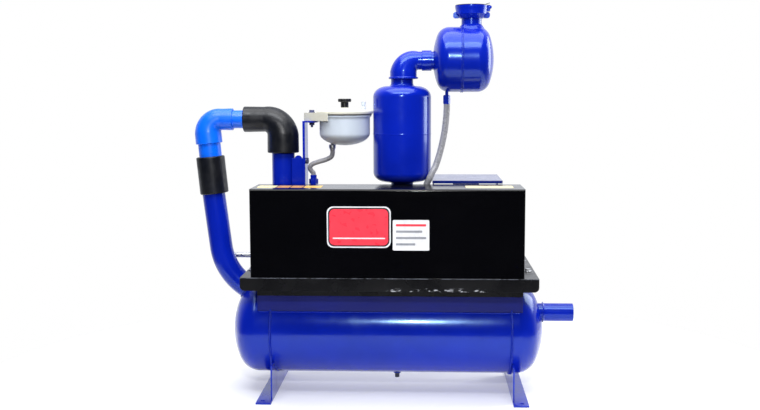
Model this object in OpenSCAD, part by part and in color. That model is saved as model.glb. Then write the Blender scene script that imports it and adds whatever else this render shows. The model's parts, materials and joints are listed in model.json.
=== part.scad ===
// Milking machine vacuum unit: belt driven vane pump on a vacuum reserve tank.
// Millimetres, +Z up. Origin on the floor at the centre of the foot bolt rectangle.

/* [Vacuum tank] */
// Outside diameter of the tank
tank_d = 300; // [298:1:302]
// Wall thickness of shell and dished ends
tank_wall = 4; // [3:0.5:5]
// Gap between the floor and the tank
tank_clear = 62; // [56:1:68]
// Left end of the tank along X
tank_x0 = -540; // [-544:1:-538]
// Right end of the tank along X
tank_x1 = 500; // [496:1:506]
// Crown radius of the dished ends
crown_r = 250; // [240:1:270]
// Knuckle radius of the dished ends
knuckle_r = 72; // [70:1:76]
// Outside diameter of the vacuum outlet pipe
outlet_d = 60.3; // [56:0.1:62]

/* [Feet] */
// Distance between the foot bolt rows along X
foot_span_x = 840; // [836:1:844]
// Distance between the two bolts of one foot
foot_span_y = 360; // [350:1:366]
// Foot bolt hole diameter
foot_hole_d = 14; // [11:0.5:16]
// Plate thickness of the feet
foot_t = 5; // [4:0.5:6]

/* [Base] */
// Height of the black rails between saddle and tray
rail_h = 78; // [76:1:80]
// Sheet thickness of the tray
tray_t = 3; // [2:0.5:4]
// Depth of the tray from front to back
tray_w = 500; // [494:1:504]
// Height of the folded tray lip
lip_h = 39; // [30:1:45]

/* [Belt guard] */
// Height of the guard above the tray
guard_h = 279.5; // [275:0.5:283]
// Depth of the guard from front to back
guard_depth = 190; // [186:1:190]
// Sheet thickness of the guard
guard_t = 2; // [1.5:0.5:3]
// Radius of the folded edges of the guard
guard_r = 7; // [5:0.5:10]

/* [Belt drive] */
// Pitch diameter of the pump pulley
pump_pitch_d = 224; // [212:1:230]
// Pitch diameter of the motor pulley
motor_pitch_d = 140; // [132:1:150]
// Distance between the two V-belts
belt_pitch = 15; // [15:0.5:18]

/* [Pump] */
// Cylinder bore radius
bore_r = 80; // [79.8:0.1:82]
// Rotor radius
rotor_r = 70; // [68:0.5:70]
// Offset between rotor and bore
eccentric = 9.5; // [8:0.1:9.5]

/* [Pipes] */
// Outside diameter of the steel suction and exhaust pipes
pipe_d = 76.1; // [74:0.1:76.1]
// Wall thickness of the steel pipes
pipe_wall = 3; // [2.5:0.5:4]
// Outside diameter of the rubber sleeve
sleeve_d = 95; // [92:1:98]

/* [Oil cup] */
// Outside radius of the clear bowl
bowl_r = 84; // [80:1:86]
// Radius of the lid
lid_r = 94; // [92:1:94]
// Diameter of the knob cap
knob_d = 44; // [38:1:50]

/* [Exhaust] */
// Diameter of the silencer vessel
vessel_d = 192; // [186:1:194]
// Diameter of the oil separator drum
drum_d = 212; // [206:1:214]
// Rim diameter of the outlet collar
collar_d = 108; // [106:1:108]

/* [Hidden] */
$fn = 96;
eps = 0.01;
tank_r = tank_d / 2;
tank_z = tank_clear + tank_r;
seam_x0 = -400;
seam_x1 = 388;
bead_r = 2.2;
outlet_z = tank_z + 55;
outlet_x1 = 602;
outlet_weld_x = tank_x1 + 5;
weld_step = 0.15;
outlet_in = 30;
drain_x = 12;
foot_x = 396;
foot_out = 45;
foot_half_y = foot_span_y / 2 + 25;
horn_z = 118;
horn_half_y = 172;
saddle_x0 = -443;
saddle_x1 = 424;
saddle_y = 128;
saddle_t = 5;
saddle_z1 = tank_z + 131;
rail_t = 5;
rail_flange = 40;
tray_z0 = saddle_z1 + rail_h;
tray_z = tray_z0 + tray_t;
tray_x0 = -477;
tray_x1 = 462;
lip_r = 15;
guard_x0 = -444;
guard_x1 = 417;
guard_y0 = -245;
guard_y1 = guard_y0 + guard_depth;
pump_x = -170;
shaft_z = tray_z + 128;
motor_x = 245;
belt_y = -130;
belt_h = 8;
belt_top = 12;
groove_top = 13.6;
groove_slope = tan(18);
pulley_rim = 3.5;
body_y0 = -60;
body_y1 = 120;
body_r = 110;
cover_t = 20;
port_x = 120;
port_bend_r = 79;
pipe_r = pipe_d / 2;
pipe_in = pipe_r - pipe_wall;
port_bend_x = 0.1;
suction_x = pump_x - port_x - port_bend_x - port_bend_r;
exhaust_x = pump_x + port_x + port_bend_x + port_bend_r;
cup_x = -162;
vessel_x = exhaust_x;
drum_z = tray_z + 687;
collar_x = 257;
hinge_x = 317;
hinge_z = tray_z + 856;

blue = [0.08, 0.13, 0.66];
black = [0.05, 0.05, 0.06];
rubber_black = [0.09, 0.10, 0.13];
pvc_blue = [0.05, 0.42, 0.95];
steel = [0.68, 0.69, 0.71];
iron = [0.32, 0.34, 0.37];
off_white = [0.88, 0.88, 0.84];
clear = [0.80, 0.86, 0.93];
copper = [0.70, 0.42, 0.26];

// ---- helpers ----

// Cylinder along Z between two heights
module rod(r, z0, z1) {
    translate([0, 0, z0]) cylinder(r = r, h = z1 - z0);
}

// Tube along Z between two heights
module tube(ro, ri, z0, z1) {
    difference() {
        rod(ro, z0, z1);
        rod(ri, z0 - 1, z1 + 1);
    }
}

// Turns local +Z into world +X at the given point
module along_x(at = [0, 0, 0]) {
    translate(at) rotate([0, 90, 0]) children();
}

// Turns local +Z into world +Y at the given point
module along_y(at = [0, 0, 0]) {
    translate(at) rotate([-90, 0, 0]) children();
}

module box(a, b) {
    translate(a) cube(b - a);
}

// Hexagon prism measured across its flats
module hex(flats, z0, z1) {
    translate([0, 0, z0]) cylinder(r = flats / sqrt(3), h = z1 - z0, $fn = 6);
}

// Outline of a rectangle with four rounded corners
module round_rect(w, h, r) {
    for (x = [-1, 1], y = [-1, 1])
        translate([x * (w / 2 - r), y * (h / 2 - r)]) circle(r = r);
    square([w - 2 * r, h], center = true);
    square([w, h - 2 * r], center = true);
}

// Points of an arc, centre c, radius r, from angle a0 to a1
function arc(c, r, a0, a1, n = 14) =
    [for (i = [0:n]) let (a = a0 + (a1 - a0) * i / n) [c[0] + r * cos(a), c[1] + r * sin(a)]];

// Half profile of a dished head: x is the radius, y the height of the dish above its rim
function dish_depth(r, crown, knuckle) =
    crown - sqrt(pow(crown - knuckle, 2) - pow(r - knuckle, 2));
function dish_angle(r, crown, knuckle) = asin((r - knuckle) / (crown - knuckle));
function dish(r, crown, knuckle) =
    let (d = dish_depth(r, crown, knuckle), a = dish_angle(r, crown, knuckle))
    concat(
        arc([r - knuckle, 0], knuckle, 0, 90 - a),
        arc([0, d - crown], crown, 90 - a, 90, 18)
    );

// Solid of revolution of a dished head, rim at z = 0, with a straight part below
module dish_solid(r, crown, knuckle, straight) {
    rotate_extrude()
        polygon(concat([[0, -straight], [r, -straight]], dish(r, crown, knuckle)));
}

// Hollow tube swept through rings; each ring is [centre, axis across, outer r, inner r]
module ring_tube(rings, n = 32) {
    k = len(rings);
    function ring(g, r) =
        [for (i = [0:n - 1])
            g[0] + g[1] * (r * cos(360 * i / n)) + [0, r * sin(360 * i / n), 0]];
    pts = concat(
        [for (g = rings) each ring(g, g[2])],
        [for (j = [k - 1:-1:0]) each ring(rings[j], rings[j][3])]
    );
    polyhedron(points = pts, convexity = 6, faces = [
        for (j = [0:2 * k - 1], i = [0:n - 1])
            let (b = j * n, e = ((j + 1) % (2 * k)) * n, m = (i + 1) % n)
            each [[b + i, b + m, e + m], [b + i, e + m, e + i]]
    ]);
}

// Reducing elbow in the XZ plane. It rises from z0, turns about the pivot and leaves along X.
// s is +1 when it leaves toward +X and -1 toward -X; lean tilts its lower leg.
module reducing_elbow(pivot, s, z0, x1, c0, r0, c1, r1, wall, flare0 = 0, flare1 = 0, lean = 0) {
    n = 14;
    px = pivot[0];
    pz = pivot[1];
    turn = [for (i = [0:n])
        let (t = i / n, a = -lean + (90 + lean) * t, c = c0 + (c1 - c0) * t, r = r0 + (r1 - r0) * t)
        [[px - s * c * cos(a), 0, pz + c * sin(a)], [-s * cos(a), 0, sin(a)], r, r - wall]];
    foot = turn[0];
    drop = foot[0][2] - z0;
    low = [foot[0] + [s * drop * tan(lean), 0, -drop], foot[1], r0 + flare0, r0 - wall];
    out = [[x1, 0, pz + c1], [0, 0, 1], r1 + flare1, r1 - wall];
    rings = concat([low], turn, [out]);
    if (s > 0) ring_tube(rings);
    else mirror([1, 0, 0]) ring_tube([for (g = rings)
        [[-g[0][0], g[0][1], g[0][2]], [-g[1][0], g[1][1], g[1][2]], g[2], g[3]]]);
}

// Round hose swept along points in space, held upright by the Y direction
module hose(path, ro, ri, n = 12) {
    k = len(path);
    function tan_at(i) =
        let (a = path[max(i - 1, 0)], b = path[min(i + 1, k - 1)]) (b - a) / norm(b - a);
    function side(t) = let (c = cross([0, 1, 0], t)) c / norm(c);
    function ring(i, r) =
        let (t = tan_at(i), u = side(t), v = cross(t, u))
        [for (j = [0:n - 1])
            path[i] + u * (r * cos(360 * j / n)) + v * (r * sin(360 * j / n))];
    pts = concat(
        [for (i = [0:k - 1]) each ring(i, ro)],
        [for (i = [k - 1:-1:0]) each ring(i, ri)]
    );
    polyhedron(points = pts, convexity = 8, faces = [
        for (j = [0:2 * k - 1], i = [0:n - 1])
            let (b = j * n, e = ((j + 1) % (2 * k)) * n, m = (i + 1) % n)
            each [[b + i, e + i, e + m], [b + i, e + m, b + m]]
    ]);
}

// Smooth curve through hand placed points
function curve(p, steps = 8) = concat(
    [for (i = [0:len(p) - 2], j = [0:steps - 1])
        let (
            a = p[max(i - 1, 0)], b = p[i], c = p[i + 1], d = p[min(i + 2, len(p) - 1)],
            t = j / steps
        )
        0.5 * (2 * b + (c - a) * t + (2 * a - 5 * b + 4 * c - d) * t * t
            + (3 * b - a - 3 * c + d) * t * t * t)],
    [p[len(p) - 1]]
);

// ---- vacuum tank ----

tank_in = tank_r - tank_wall;
head_depth = dish_depth(tank_r, crown_r, knuckle_r);
bend_c = [-393.3, 511.5 + tank_z - 212];
bend_r = 193.6;
bend_a0 = 7;
bend_a1 = 55;

// Room inside the tank, used to trim what enters it
module tank_room() {
    along_x([0, 0, tank_z]) {
        rod(tank_in, seam_x0 - 20, seam_x1 + 10);
        translate([0, 0, tank_x1 - head_depth])
            dish_solid(tank_in, crown_r - tank_wall, knuckle_r - tank_wall, 50);
        translate([0, 0, tank_x0 + head_depth]) rotate([180, 0, 0])
            dish_solid(tank_in, crown_r - tank_wall, knuckle_r - tank_wall, 60);
    }
}

// Straight end of the suction bend where it enters the tank
module bend_entry(r) {
    translate([
        bend_c[0] - bend_r * cos(bend_a1), 0, bend_c[1] - bend_r * sin(bend_a1)
    ]) rotate([0, 180 - bend_a1, 0]) rod(r, 0, 75);
}

module tank_shell() {
    color(blue) difference() {
        union() {
            along_x([0, 0, tank_z]) tube(tank_r, tank_in, seam_x0, seam_x1);
            for (x = [seam_x0, seam_x1])
                along_x([x, 0, tank_z]) rotate_extrude() translate([tank_r, 0]) intersection() {
                    circle(r = bead_r, $fn = 24);
                    translate([0, -bead_r]) square([bead_r, 2 * bead_r]);
                }
            translate([drain_x, 0, 0]) rod(13.5, tank_clear - 6, tank_clear + tank_wall);
        }
        translate([drain_x, 0, 0]) rod(6, 0, tank_clear + 20);
    }
}

module tank_end_left() {
    color(blue) difference() {
        along_x([tank_x0 + head_depth, 0, tank_z]) rotate([180, 0, 0]) difference() {
            dish_solid(tank_r, crown_r, knuckle_r, seam_x0 - tank_x0 - head_depth);
            dish_solid(tank_in, crown_r - tank_wall, knuckle_r - tank_wall, 200);
        }
        bend_entry(pipe_r);
    }
}

module tank_end_right() {
    color(blue) difference() {
        along_x([tank_x1 - head_depth, 0, tank_z]) difference() {
            dish_solid(tank_r, crown_r, knuckle_r, tank_x1 - head_depth - seam_x1);
            dish_solid(tank_in, crown_r - tank_wall, knuckle_r - tank_wall, 200);
        }
        along_x([0, 0, outlet_z]) rod(outlet_d / 2 - weld_step, tank_x1 - 60, tank_x1 + 20);
    }
}

// Turned as one profile: bore, end inside the tank, weld bead and plain spigot
module outlet_pipe() {
    r = outlet_d / 2;
    color(blue) along_x([0, 0, outlet_z]) rotate_extrude() polygon([
        [r - pipe_wall, tank_x1 - outlet_in], [r - weld_step, tank_x1 - outlet_in],
        [r - weld_step, tank_x1 + 0.3], [r + 5, tank_x1 + 0.3], [r + 4, tank_x1 + 2.2],
        [r + 2, outlet_weld_x - 0.8], [r, outlet_weld_x], [r, outlet_x1],
        [r - pipe_wall, outlet_x1]
    ]);
}

module drain_plug() {
    color(steel) translate([drain_x, 0, 0]) {
        rod(5.95, tank_clear - 6.5, tank_clear + 2);
        rod(10, tank_clear - 9, tank_clear - 6.1);
        hex(13, tank_clear - 23, tank_clear - 9);
    }
}

// ---- feet ----

module foot() {
    difference() {
        union() {
            difference() {
                translate([-foot_x, 0, 0]) rotate([90, 0, 90]) linear_extrude(height = foot_t)
                    polygon([
                        [-horn_half_y, foot_t], [horn_half_y, foot_t],
                        [horn_half_y, horn_z], [-horn_half_y, horn_z]
                    ]);
                along_x([0, 0, tank_z]) rod(tank_r, -foot_x - 5, -foot_x + 15);
            }
            box([-foot_x - foot_out, -foot_half_y, 0], [-foot_x + foot_t, foot_half_y, foot_t]);
        }
        for (y = [-1, 1])
            translate([-foot_span_x / 2, y * foot_span_y / 2, 0]) rod(foot_hole_d / 2, -1, 10);
    }
}

module foot_left() {
    color(blue) foot();
}

module foot_right() {
    color(blue) mirror([1, 0, 0]) foot();
}

// ---- base ----

module saddle_frame() {
    color(blue) difference() {
        for (y = [-1, 1])
            translate([0, y * (saddle_y - saddle_t / 2), 0])
                box([saddle_x0, -saddle_t / 2, tank_z], [saddle_x1, saddle_t / 2, saddle_z1]);
        saddle_seat();
    }
    color(blue) difference() {
        for (x = [saddle_x0, saddle_x1 - saddle_t])
            box([x, -saddle_y + saddle_t, tank_z + 60],
                [x + saddle_t, saddle_y - saddle_t, saddle_z1]);
        saddle_seat();
    }
}

// Round seat of the saddle on the tank, relieved over the two weld seams
module saddle_seat() {
    along_x([0, 0, tank_z]) {
        rod(tank_r, saddle_x0 - 10, saddle_x1 + 10);
        for (x = [seam_x0, seam_x1])
            rod(tank_r + bead_r + 0.3, x - bead_r - 0.5, x + bead_r + 0.5);
    }
}

// One channel rail with its web outside
module rail() {
    rotate([90, 0, 90]) translate([0, 0, saddle_x0])
        linear_extrude(height = saddle_x1 - saddle_x0) polygon([
            [saddle_y, saddle_z1], [saddle_y, tray_z0], [saddle_y - rail_flange, tray_z0],
            [saddle_y - rail_flange, tray_z0 - rail_t], [saddle_y - rail_t, tray_z0 - rail_t],
            [saddle_y - rail_t, saddle_z1 + rail_t], [saddle_y - rail_flange, saddle_z1 + rail_t],
            [saddle_y - rail_flange, saddle_z1]
        ]);
}

module tray_rails() {
    color(black) difference() {
        union() {
            rail();
            mirror([0, 1, 0]) rail();
            for (x = [saddle_x0, -160, 120, saddle_x1 - rail_t])
                box([x, -saddle_y + rail_t, tank_z + tank_r + 2],
                    [x + rail_t, saddle_y - rail_t, tray_z0 - rail_t]);
            for (y = [-1, 1]) {
                box([saddle_x1 - 20, y * tray_bolt_yr - 20, tray_z0 - rail_t],
                    [tray_bolt_xr + 16, y * tray_bolt_yr + 20, tray_z0]);
                box([tray_bolt_xl - 12, y * tray_bolt_yr - 20, tray_z0 - rail_t],
                    [saddle_x0 + 20, y * tray_bolt_yr + 20, tray_z0]);
            }
        }
        tray_holes();
    }
}

tray_bolt_xr = 440;
tray_bolt_xl = -462;
tray_bolt_yr = 104;
rail_bolts = [for (x = [motor_x - 88, motor_x + 88], y = [0, 140]) [x, y]];
foot_bolts = [for (x = [pump_x - 104, pump_x + 104], y = [-40, 75]) [x, y]];
edge_bolts = [for (x = [tray_bolt_xl, tray_bolt_xr], y = [-tray_bolt_yr, tray_bolt_yr]) [x, y]];

module tray_holes() {
    for (p = concat(rail_bolts, foot_bolts, edge_bolts))
        translate([p[0], p[1], 0]) rod(5.5, tray_z0 - 30, tray_z + 5);
}

module base_tray() {
    color(black) difference() {
        union() {
            box([tray_x0, -tray_w / 2, tray_z0], [tray_x1, tray_w / 2, tray_z]);
            for (y = [-tray_w / 2 + tray_t, tray_w / 2])
                translate([(tray_x0 + tray_x1) / 2, y, tray_z0 - lip_h / 2 + lip_r / 2])
                    rotate([90, 0, 0]) linear_extrude(height = tray_t)
                        difference() {
                            round_rect(tray_x1 - tray_x0, lip_h + lip_r, lip_r);
                            translate([-500, lip_h / 2 - lip_r / 2]) square([1000, 40]);
                        }
            for (x = [tray_x0, tray_x1 - tray_t])
                box([x, -tray_w / 2 + tray_t, tray_z0 - lip_h + lip_r],
                    [x + tray_t, tray_w / 2 - tray_t, tray_z0]);
        }
        tray_holes();
    }
}

// Bolt through a stack of plates: top face z1, under face z0
module through_bolt(x, y, z0, z1, washer = 12) {
    translate([x, y, 0]) {
        rod(5, z0 - 12, z1 + 2);
        rod(washer, z1, z1 + 2);
        hex(15, z1 + 2, z1 + 9);
        hex(15, z0 - 8, z0);
    }
}

module tray_bolts() {
    color(steel) {
        for (p = edge_bolts) through_bolt(p[0], p[1], tray_z0 - rail_t, tray_z, 14);
        for (p = foot_bolts) through_bolt(p[0], p[1], tray_z0, tray_z + 16);
        for (p = rail_bolts) through_bolt(p[0], p[1], tray_z0, tray_z + 28);
    }
}

module belt_guard() {
    module shell(g) {
        w = guard_x1 - guard_x0 - 2 * g;
        h = guard_h - g;
        r = guard_r - g;
        d = guard_depth;
        intersection() {
            translate([guard_x0 + g, guard_y0 + g, tray_z]) rotate([90, 0, 90])
                linear_extrude(height = w) {
                    translate([r, 0]) square([d, h]);
                    square([r + 1, h - r]);
                    translate([r, h - r]) circle(r = r, $fn = 64);
                }
            translate([guard_x0 + g, guard_y0 + g, tray_z]) linear_extrude(height = h) {
                translate([r, 0]) square([w - 2 * r, r + 1]);
                translate([0, r]) square([w, d]);
                for (x = [r, w - r]) translate([x, r]) circle(r = r, $fn = 64);
            }
        }
    }
    color(black) {
        difference() {
            shell(0);
            translate([0, 0, -5]) shell(guard_t);
            shell(guard_t);
            box([-600, guard_y1, tray_z - 1], [600, 200, tray_z + 400]);
        }
        box([guard_x0 + guard_t, guard_y0 + guard_r, tray_z],
            [guard_x1 - guard_t, guard_y0 + 22, tray_z + guard_t]);
    }
}

// ---- vane pump ----

body_z = shaft_z - 7;
bore_z = shaft_z - eccentric;
neck_r = 46;
flange_r = 58;

module port_bolts(r, z0, z1) {
    for (a = [45:90:315]) rotate([0, 0, a]) translate([47, 0, 0]) rod(r, z0, z1);
}

module pump_body() {
    color(iron) difference() {
        union() {
            along_y([pump_x, 0, body_z]) rod(body_r, body_y0, body_y1);
            for (a = [0, 180])
                translate([pump_x, 0, shaft_z]) rotate([0, 90, a]) rod(neck_r, 60, port_x);
            box([pump_x - 122, body_y0, tray_z], [pump_x + 122, body_y1, tray_z + 16]);
            box([pump_x - 70, body_y0 + 10, tray_z + 10],
                [pump_x + 70, body_y1 - 10, tray_z + 60]);
            translate([oil_in_x, 0, 0]) rod(13, shaft_z + 20, shaft_z + 90);
            for (i = [-3:3])
                box([pump_x + 24 * i - 2.5, body_y0 + 12, body_z + 80],
                    [pump_x + 24 * i + 2.5, body_y1 - 12, body_z + 118 - 2.2 * i * i]);
        }
        along_y([pump_x, 0, bore_z]) rod(bore_r, body_y0 - 1, body_y1 + 1);
        for (a = [0, 180])
            translate([pump_x, 0, shaft_z]) rotate([0, 90, a]) rod(pipe_in, 40, port_x + 1);
        for (p = foot_bolts) translate([p[0], p[1], 0]) rod(5.5, tray_z - 5, tray_z + 30);
    }
}

module cover_plate(y0, y1, boss0, boss1) {
    along_y([pump_x, 0, body_z]) rod(body_r, y0, y1);
    along_y([pump_x, 0, shaft_z]) rod(46, boss0, boss1);
    for (a = [22.5:45:359])
        along_y([pump_x, 0, body_z]) rotate([0, 0, a]) translate([96, 0, 0])
            hex(13, boss0 < y0 ? y0 - 7 : y1, boss0 < y0 ? y0 : y1 + 7);
}

module pump_front_cover() {
    color(iron) difference() {
        cover_plate(body_y0 - cover_t, body_y0, body_y0 - 30, body_y0);
        along_y([pump_x, 0, shaft_z]) {
            rod(31, body_y0 - 26, body_y0 + 1);
            rod(19, body_y0 - 40, body_y0);
        }
    }
}

module pump_rear_cover() {
    color(iron) difference() {
        cover_plate(body_y1, body_y1 + cover_t, body_y1, body_y1 + 30);
        along_y([pump_x, 0, shaft_z]) rod(31, body_y1 - 1, body_y1 + 20);
    }
}

// Sealed ball bearing with a shallow groove in both faces
module bearing(ro, ri, w) {
    t = (ro - ri) / 4;
    rotate_extrude() polygon([
        [ri, 0], [ri + t, 0], [ri + t, 1], [ro - t, 1], [ro - t, 0], [ro, 0],
        [ro, w], [ro - t, w], [ro - t, w - 1], [ri + t, w - 1], [ri + t, w], [ri, w]
    ]);
}

module ball_bearings() {
    color(steel) {
        along_y([pump_x, body_y0 - 25, shaft_z]) bearing(31, 17.55, 16);
        along_y([pump_x, body_y1 + 3, shaft_z]) bearing(31, 17.55, 16);
        along_y([motor_x, motor_y0 - 16, shaft_z]) bearing(26, 14.05, 14);
        along_y([motor_x, motor_y1 + 2, shaft_z]) bearing(26, 14.05, 14);
    }
}

module pump_rotor() {
    color(steel) along_y([pump_x, 0, shaft_z]) difference() {
        union() {
            rod(rotor_r, body_y0 + 0.5, body_y1 - 0.5);
            rod(17.5, body_y0 - 30, body_y1 + 19.5);
            rod(15, belt_y - 26, body_y0 - 20);
        }
        for (a = [0:90:270]) rotate([0, 0, a])
            box([rotor_r - 42, -4.05, body_y0 - 1], [rotor_r + 1, 4.05, body_y1 + 1]);
    }
}

module rotor_vanes() {
    color(black) along_y([pump_x, 0, shaft_z])
        for (a = [0:90:270]) rotate([0, 0, a])
            box([rotor_r - 40, -4, body_y0 + 0.6], [rotor_r - 0.3, 4, body_y1 - 0.6]);
}

// ---- belt drive ----

groove_y = [belt_y - belt_pitch / 2, belt_y + belt_pitch / 2];
rim_w = belt_pitch + 20;

module pulley(rp, bore, spokes) {
    ro = rp + pulley_rim;
    deep = 10.5;
    g0 = groove_top / 2;
    g1 = g0 - deep * groove_slope;
    difference() {
        union() {
            rotate_extrude() difference() {
                translate([ro - 20, -rim_w / 2]) square([20, rim_w]);
                for (c = [-belt_pitch / 2, belt_pitch / 2]) translate([0, c]) polygon([
                    [ro - deep, -g1], [ro + 1, -g0], [ro + 1, g0], [ro - deep, g1]
                ]);
            }
            rod(bore + 15, -rim_w / 2 - 6, rim_w / 2);
            rod(ro - 19, -5, 5);
        }
        rod(bore, -40, 40);
        if (spokes > 0)
            for (a = [0:360 / spokes:359]) rotate([0, 0, a])
                translate([(ro - 20 + bore + 15) / 2, 0, 0]) rod(21, -10, 10);
    }
}

module pump_pulley() {
    color(iron) along_y([pump_x, belt_y, shaft_z]) pulley(pump_pitch_d / 2, 15, 5);
    color(steel) along_y([pump_x, belt_y, shaft_z]) {
        tube(22, 15, -rim_w / 2 - 9, -rim_w / 2 - 6);
    }
}

module motor_pulley() {
    color(iron) along_y([motor_x, belt_y, shaft_z]) pulley(motor_pitch_d / 2, 14, 0);
}

// Closed belt with a trapezoid section around both pulleys
module belt(y) {
    ra = pump_pitch_d / 2;
    rb = motor_pitch_d / 2;
    lean = asin((ra - rb) / (motor_x - pump_x));
    up = pulley_rim - 0.5;
    low = up - belt_h;
    wt = belt_top / 2;
    wb = wt - belt_h * groove_slope;
    n = 40;
    function wrap(x, a0, a1) =
        [for (i = [0:n]) let (a = a0 + (a1 - a0) * i / n) [x, a]];
    path = concat(
        [for (w = wrap(pump_x, 90 - lean, 270 + lean)) [w[0], w[1], ra]],
        [for (w = wrap(motor_x, -90 + lean, 90 - lean)) [w[0], w[1], rb]]
    );
    k = len(path);
    section = [[low, -wb], [up, -wt], [up, wt], [low, wb]];
    pts = [for (p = path, s = section)
        [p[0] + (p[2] + s[0]) * cos(p[1]), y + s[1], shaft_z + (p[2] + s[0]) * sin(p[1])]];
    polyhedron(points = pts, convexity = 6, faces = [
        for (j = [0:k - 1], i = [0:3])
            let (b = j * 4, e = ((j + 1) % k) * 4, m = (i + 1) % 4)
            each [[b + i, e + i, e + m], [b + i, e + m, b + m]]
    ]);
}

module v_belts() {
    color(rubber_black) for (y = groove_y) belt(y);
}

// ---- motor ----

motor_y0 = -30;
motor_y1 = 180;
frame_r = 98;
frame_in = 90;

module motor_frame() {
    color(blue) {
        along_y([motor_x, 0, shaft_z]) {
            tube(frame_r, frame_in, motor_y0, motor_y1);
            for (a = [15:10:165], s = [0, 180]) if (abs(a - 90) > 28)
                rotate([0, 0, a + s])
                    box([frame_r - 1, -1.2, motor_y0 + 12], [frame_r + 11, 1.2, motor_y1 - 12]);
        }
        difference() {
            union() {
                for (y = [motor_y0 + 20, motor_y1 - 60])
                    box([motor_x - 100, y, tray_z + 16], [motor_x + 100, y + 28, tray_z + 28]);
                for (y = [motor_y0 + 20, motor_y1 - 60])
                    box([motor_x - 62, y, tray_z + 26], [motor_x + 62, y + 28, tray_z + 80]);
            }
            along_y([motor_x, 0, shaft_z]) rod(frame_r - 2, motor_y0, motor_y1);
            for (p = rail_bolts) translate([p[0], p[1], 0]) rod(5.5, tray_z, tray_z + 40);
        }
    }
}

module shield(y0, y1, by0, by1) {
    difference() {
        along_y([motor_x, 0, shaft_z]) {
            rod(frame_r, y0, y1);
            rod(38, min(y0, by0) - 6, max(y1, by1) + 6);
        }
        along_y([motor_x, 0, shaft_z]) {
            rod(26, by0, by1);
            rod(16, y0 - 30, y1 + 30);
        }
    }
}

module motor_front_shield() {
    color(blue) shield(motor_y0 - 14, motor_y0, motor_y0 - 16, motor_y0 + 7);
}

module motor_rear_shield() {
    color(blue) shield(motor_y1, motor_y1 + 14, motor_y1 - 7, motor_y1 + 16);
}

module motor_stator() {
    color(copper) along_y([motor_x, 0, shaft_z]) {
        tube(frame_in, 58, 20, 130);
        tube(80, 62, 0, 20);
        tube(80, 62, 130, 150);
    }
}

module motor_rotor() {
    color(steel) along_y([motor_x, 0, shaft_z]) {
        rod(57.4, 20, 130);
        rod(14, belt_y - rim_w / 2 - 4, motor_y1 + 44);
    }
}

module motor_fan() {
    color(black) along_y([motor_x, motor_y1 + 24, shaft_z]) {
        tube(24, 14, 0, 18);
        tube(84, 14, 0, 3);
        for (a = [0:45:315]) rotate([0, 0, a]) box([23, -1.5, 0], [84, 1.5, 18]);
    }
}

module fan_cover() {
    y1 = motor_y1 + 58;
    color(black) along_y([motor_x, 0, shaft_z]) difference() {
        rod(frame_r + 2.5, motor_y1, y1);
        rod(frame_r + 0.02, motor_y1 - 1, motor_y1 + 14);
        rod(frame_r, motor_y1 + 13, y1 - 2);
        for (r = [30:14:86]) difference() {
            tube(r + 4, r - 4, y1 - 4, y1 + 1);
            for (a = [0:45:135]) rotate([0, 0, a]) box([-120, -4, y1 - 9], [120, 4, y1 + 5]);
        }
    }
}

module terminal_box() {
    z0 = shaft_z + frame_r - 8;
    color(blue) {
        difference() {
            box([motor_x - 44, 20, z0], [motor_x + 44, 108, z0 + 52]);
            along_y([motor_x, 0, shaft_z]) rod(frame_r, 0, 200);
            box([motor_x - 40, 24, z0 + 14], [motor_x + 40, 104, z0 + 48]);
        }
    }
    color(black) along_x([motor_x + 44, 64, z0 + 30]) {
        hex(22, 0, 8);
        rod(9, 8, 22);
    }
}

module motor_rails() {
    color(black) for (y = [0, 130]) difference() {
        box([motor_x - 116, y - 20, tray_z], [motor_x + 116, y + 20, tray_z + 16]);
        for (p = rail_bolts) translate([p[0], p[1], 0]) rod(5.5, tray_z - 5, tray_z + 30);
    }
}

canopy_x0 = 130;
canopy_x1 = 362;
canopy_y0 = -28;
canopy_y1 = 250;
canopy_z = tray_z + 289.5;

module motor_canopy() {
    color(blue) {
        box([canopy_x0, canopy_y0, canopy_z - 2], [canopy_x1, canopy_y1, canopy_z]);
        for (y = [canopy_y0, canopy_y1 - 2])
            box([canopy_x0, y, canopy_z - 10], [canopy_x1, y + 2, canopy_z - 2]);
        for (x = [canopy_x0, canopy_x1 - 2])
            box([x, canopy_y0 + 2, canopy_z - 10], [x + 2, canopy_y1 - 2, canopy_z - 2]);
        for (x = [canopy_x1 - 6, canopy_x0 + 2], y = [170, 210]) {
            box([x, y, tray_z], [x + 4, y + 24, canopy_z - 2]);
        }
    }
}

// ---- suction line ----

// Quarter bend of a pipe: starts at the origin going along +X and turns up
module quarter_bend(r) {
    translate([0, 0, port_bend_r]) rotate([90, 0, 0]) rotate([0, 0, 270])
        rotate_extrude(angle = 90) translate([port_bend_r, 0]) circle(r = r);
}

// Flanged port pipe leaving the pump along +X and rising to z1
module port_pipe(z1) {
    difference() {
        union() {
            along_x() rod(flange_r, 0, 12);
            along_x([12, 0, 0]) port_bolts(6, 0, 6);
            translate([port_bend_x, 0, 0]) quarter_bend(pipe_r);
            along_x() rod(pipe_r, 0, port_bend_x + eps);
            translate([port_bend_x + port_bend_r, 0, 0]) rod(pipe_r, port_bend_r - eps, z1);
        }
        translate([port_bend_x, 0, 0]) quarter_bend(pipe_in);
        along_x() rod(pipe_in, -1, port_bend_x + eps);
        translate([port_bend_x + port_bend_r, 0, 0]) rod(pipe_in, port_bend_r - eps, z1 + 1);
    }
}

rubber_z = shaft_z + 253;
cup_z = shaft_z + 381;

module suction_port() {
    color(blue) translate([pump_x - port_x, 0, shaft_z]) mirror([1, 0, 0])
        port_pipe(rubber_z - shaft_z + 60);
}

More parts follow.
